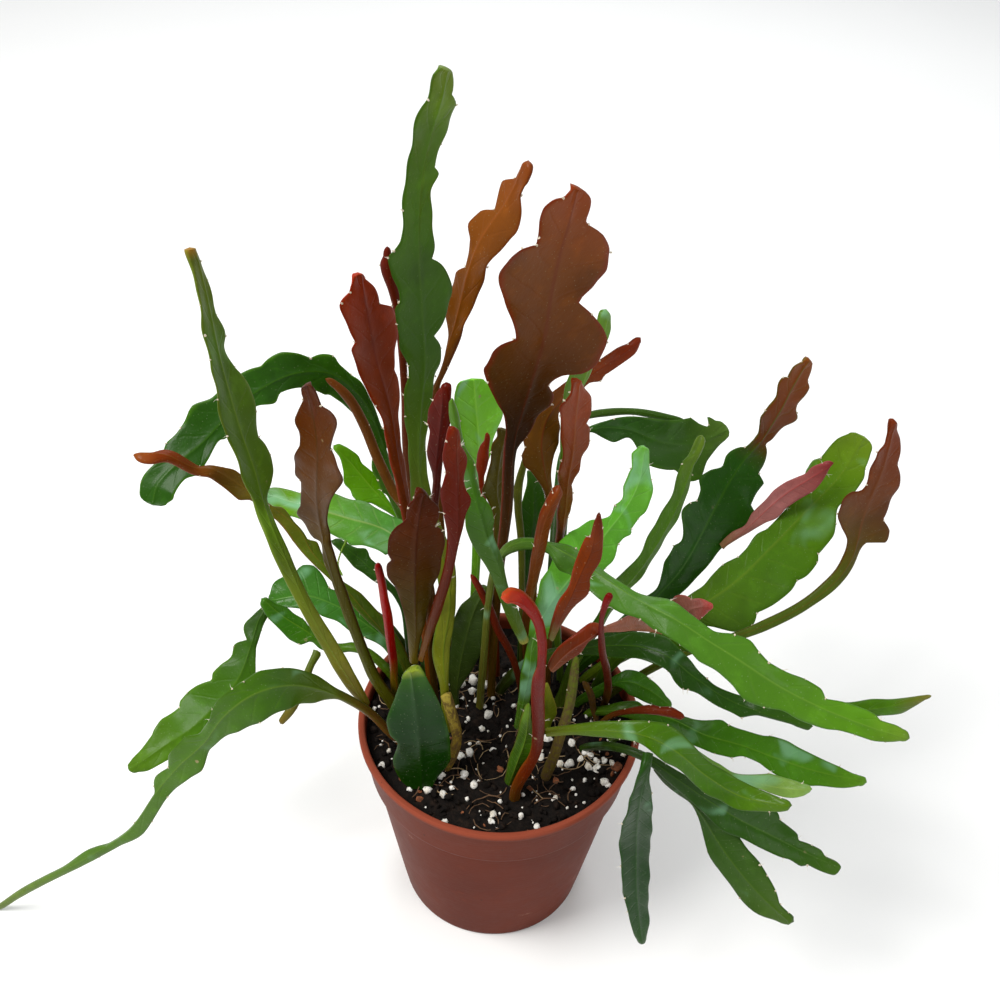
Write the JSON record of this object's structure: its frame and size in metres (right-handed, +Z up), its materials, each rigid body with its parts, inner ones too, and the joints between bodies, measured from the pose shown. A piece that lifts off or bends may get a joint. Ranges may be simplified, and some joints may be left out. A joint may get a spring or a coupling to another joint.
{
  "type": "potted fishbone cactus",
  "caption": "Fishbone cactus with flat notched green and reddish stems, growing from peat in a round plastic nursery pot.",
  "frame": {"origin": "centre of the pot's underside, on the ground", "axes": "+Z up, -Y towards the front of the plant, +X to the right seen from the front"},
  "size_m": [0.3876, 0.2155, 0.3795],
  "materials": {
    "pot_plastic": "satin",
    "peat": "matte",
    "stem_green": "satin",
    "stem_dark_green": "satin",
    "stem_bright_green": "satin",
    "stem_pale_green": "satin",
    "stem_red": "satin",
    "stem_brown": "satin",
    "shoot_pink": "satin",
    "corky_stem": "matte"
  },
  "bodies": {
    "root": {"pot": "pot_plastic", "soil": "peat", "stem_long_trailing_left": "stem_green", "stem_tall_left": "stem_green", "stem_back_left_arch": "stem_green", "stem_thin_back_left": "stem_brown", "stem_red_tip_far_left": "stem_green", "stem_brown_left": "stem_brown", "shoot_red_left": "stem_red", "stem_mid_left_blade": "stem_pale_green", "stem_back_left_blade": "stem_bright_green", "stem_dark_left_blade": "stem_dark_green", "stem_low_left_blade": "stem_pale_green", "stem_lower_left_hanging": "stem_green", "stem_low_left_twisted": "stem_green", "stem_thin_hanging_left": "stem_green", "stem_red_mid_left": "stem_red", "stem_dark_red_behind": "stem_red", "corky_base_left": "corky_stem", "stem_tallest_green": "stem_green", "blade_front_cut": "stem_green", "stem_brown_front": "stem_brown", "stem_red_front_tall": "stem_red", "stem_red_front_behind": "stem_red", "stem_brown_twisted": "stem_brown", "blade_grey_centre": "stem_dark_green", "stem_centre_green": "stem_bright_green", "stem_pale_back": "stem_pale_green", "stem_big_brown": "stem_brown", "stem_olive_centre": "stem_brown", "blade_cut_centre": "stem_green", "shoot_red_arch": "stem_red", "shoot_red_dagger": "stem_red", "shoot_pink_side": "shoot_pink", "shoot_thin_red_right": "stem_red", "stem_bright_front_right": "stem_bright_green", "corky_base_right": "corky_stem", "stem_pale_centre_right": "stem_pale_green", "stem_red_strap": "stem_red", "stem_red_mid_right": "stem_red", "stem_brown_back_right": "stem_brown", "stem_green_back_right": "stem_pale_green", "stem_dark_back_centre": "stem_dark_green", "stem_long_front_right": "stem_green", "stem_under_front_right": "stem_dark_green", "stem_far_right_point": "stem_green", "stem_dark_back_right": "stem_dark_green", "stem_edge_on_right": "stem_green", "stem_dark_lobed_right": "stem_dark_green", "shoot_pink_right": "shoot_pink", "stem_broad_right": "stem_bright_green", "stem_curled_far_right": "stem_brown", "shoot_bud_pink_right": "shoot_pink", "stem_short_right": "stem_green", "shoot_red_low_right": "stem_red", "stem_right_middle": "stem_green", "stem_silvery_front_right": "stem_pale_green", "stem_dark_front_right": "stem_dark_green", "stem_hanging_front_right": "stem_green", "stem_drooping_front": "stem_dark_green"}
  },
  "joints": []
}
